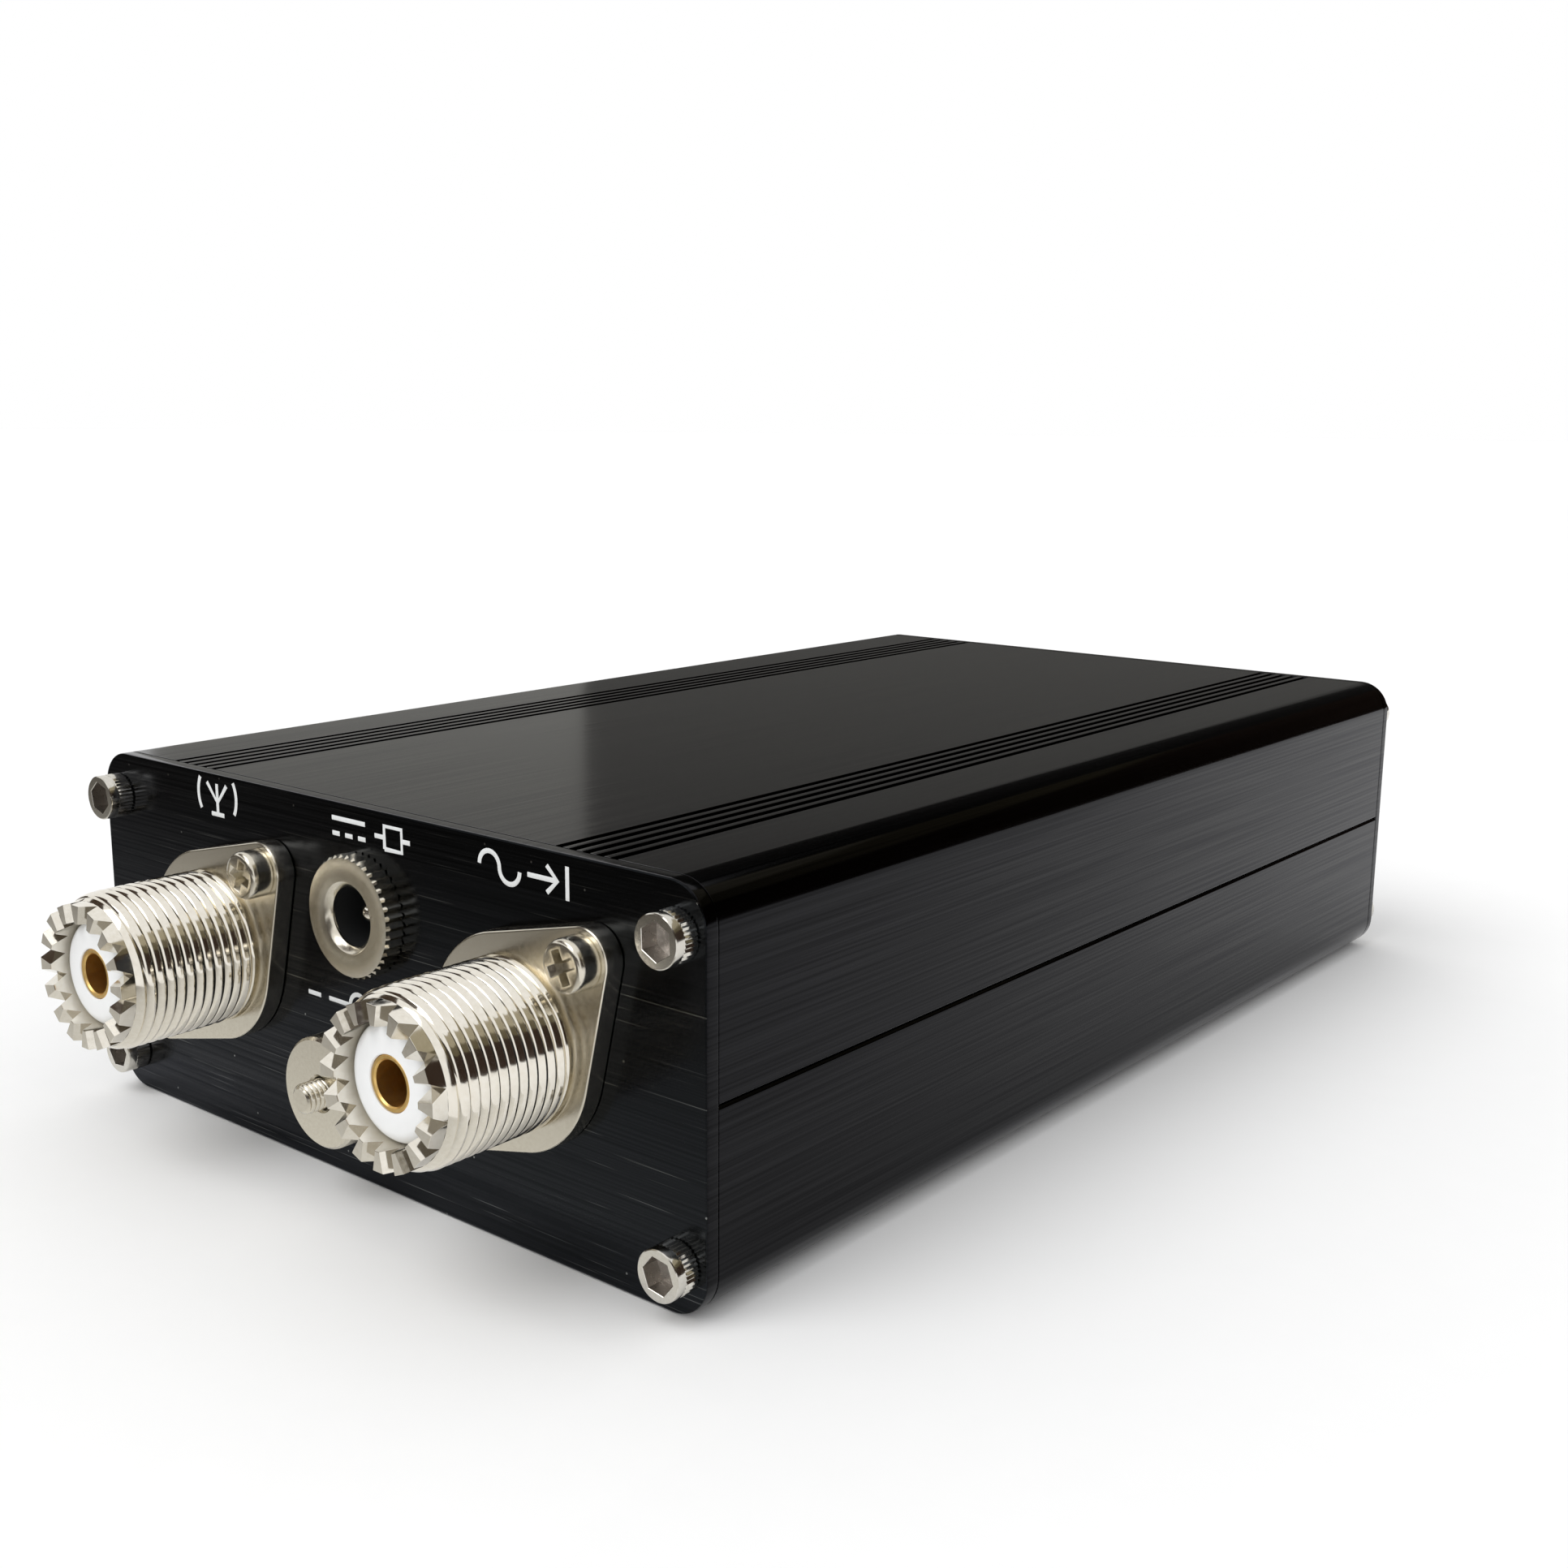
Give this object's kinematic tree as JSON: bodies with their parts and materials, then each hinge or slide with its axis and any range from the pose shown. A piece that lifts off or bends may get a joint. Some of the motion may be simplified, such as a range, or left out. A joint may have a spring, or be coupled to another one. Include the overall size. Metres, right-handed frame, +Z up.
{
  "type": "automatic antenna tuner",
  "caption": "Black extruded box that matches a radio to its aerial, with threaded coaxial sockets, a power jack and a ground post at one end and a display with push buttons at the other.",
  "frame": {"origin": "middle of the case's underside", "axes": "+Z up; the connector panel faces -Y and the display panel faces +Y, so +Y runs along the case"},
  "size_m": [0.088, 0.1637, 0.038],
  "materials": {
    "anodised_case": "black anodised extrusion, fine brushed along its length",
    "anodised_panel": "black anodised sheet, brushed across",
    "nickel_plate": "bright nickel plate, slightly warm",
    "nickel_screw": "nickel-plated steel",
    "tinned_steel": "tinned",
    "white_insulator": "turned white fluoropolymer",
    "gilt_contact": "gold-flashed brass",
    "black_plastic": "moulded, satin",
    "white_plastic": "moulded",
    "green_laminate": "solder mask on glass laminate",
    "blue_laminate": "solder mask on glass laminate",
    "relay_case": "moulded, satin",
    "iron_core": "red coating on pressed iron powder",
    "enamelled_copper": "clear enamel on copper wire",
    "ferrite": "sintered, matt",
    "capacitor_resin": "dipped resin",
    "chip_resin": "moulded epoxy",
    "can_sleeve": "shrunk sleeve on an aluminium can",
    "clear_pane": "clear acrylic sheet",
    "dark_glass": "unlit display glass",
    "grey_ribbon": "flat ribbon cable",
    "white_wire": "insulated wire",
    "red_wire": "insulated wire",
    "black_wire": "insulated wire",
    "green_wire": "insulated wire"
  },
  "bodies": {
    "case": {"lower_shell": "anodised_case", "upper_shell": "anodised_case", "connector_panel": "anodised_panel", "display_panel": "anodised_panel", "connector_panel_screws": "nickel_screw", "display_panel_screws": "nickel_screw", "antenna_socket_body": "nickel_plate", "antenna_socket_insulator": "white_insulator", "antenna_socket_contact": "gilt_contact", "input_socket_body": "nickel_plate", "input_socket_insulator": "white_insulator", "input_socket_contact": "gilt_contact", "socket_screws": "nickel_screw", "socket_nuts": "nickel_screw", "jack_ring_nut": "nickel_plate", "jack_body": "black_plastic", "jack_pin": "tinned_steel", "jack_sleeve_tab": "tinned_steel", "ground_stud": "nickel_screw", "ground_hex_nut": "nickel_screw", "ground_lug": "tinned_steel", "main_board": "green_laminate", "inductor_relays": "relay_case", "capacitor_relays": "relay_case", "bypass_relay": "relay_case", "toroid_cores": "iron_core", "toroid_windings": "enamelled_copper", "air_coils": "enamelled_copper", "sensor_core": "ferrite", "tuning_capacitors": "capacitor_resin", "controller_chip": "chip_resin", "filter_capacitors": "can_sleeve", "voltage_regulator": "chip_resin", "display_pane": "clear_pane", "display_glass": "dark_glass", "display_module": "blue_laminate", "display_pillars": "nickel_screw", "display_screws": "nickel_screw", "display_ribbon": "grey_ribbon", "ribbon_socket": "white_plastic", "button_switches": "black_plastic", "power_switch": "black_plastic", "antenna_wire": "white_wire", "input_wire": "white_wire", "supply_wire": "red_wire", "return_wire": "black_wire", "ground_wire": "green_wire"},
    "clamp_washer": {"ground_washer": "nickel_plate"},
    "thumb_nut": {"ground_thumb_nut": "nickel_plate"},
    "tune_button": {"tune_button": "black_plastic"},
    "auto_button": {"auto_button": "black_plastic"},
    "bypass_button": {"bypass_button": "black_plastic"},
    "power_button": {"power_button": "black_plastic"}
  },
  "joints": [
    {"name": "clamp_washer_slide", "type": "slide", "parent": "case", "child": "clamp_washer", "axis": [0, -1, 0], "range_m": [0, 0.002]},
    {"name": "thumb_nut_turn", "type": "hinge", "parent": "clamp_washer", "child": "thumb_nut", "pos_m": [0, -0.0745, 0.01105], "axis": [0, -1, 0], "range_deg": [0, 1445]},
    {"name": "tune_press", "type": "slide", "parent": "case", "child": "tune_button", "axis": [0, -1, 0], "range_m": [0, 0.0004], "stiffness_N_per_m": 4000},
    {"name": "auto_press", "type": "slide", "parent": "case", "child": "auto_button", "axis": [0, -1, 0], "range_m": [0, 0.0004], "stiffness_N_per_m": 4000},
    {"name": "bypass_press", "type": "slide", "parent": "case", "child": "bypass_button", "axis": [0, -1, 0], "range_m": [0, 0.0004], "stiffness_N_per_m": 4000},
    {"name": "power_press", "type": "slide", "parent": "case", "child": "power_button", "axis": [0, -1, 0], "range_m": [0, 0.0025], "stiffness_N_per_m": 1200}
  ],
  "couplings": [
    {"joint": "thumb_nut_turn", "follows": "clamp_washer_slide", "rad_per_m": 12566}
  ]
}
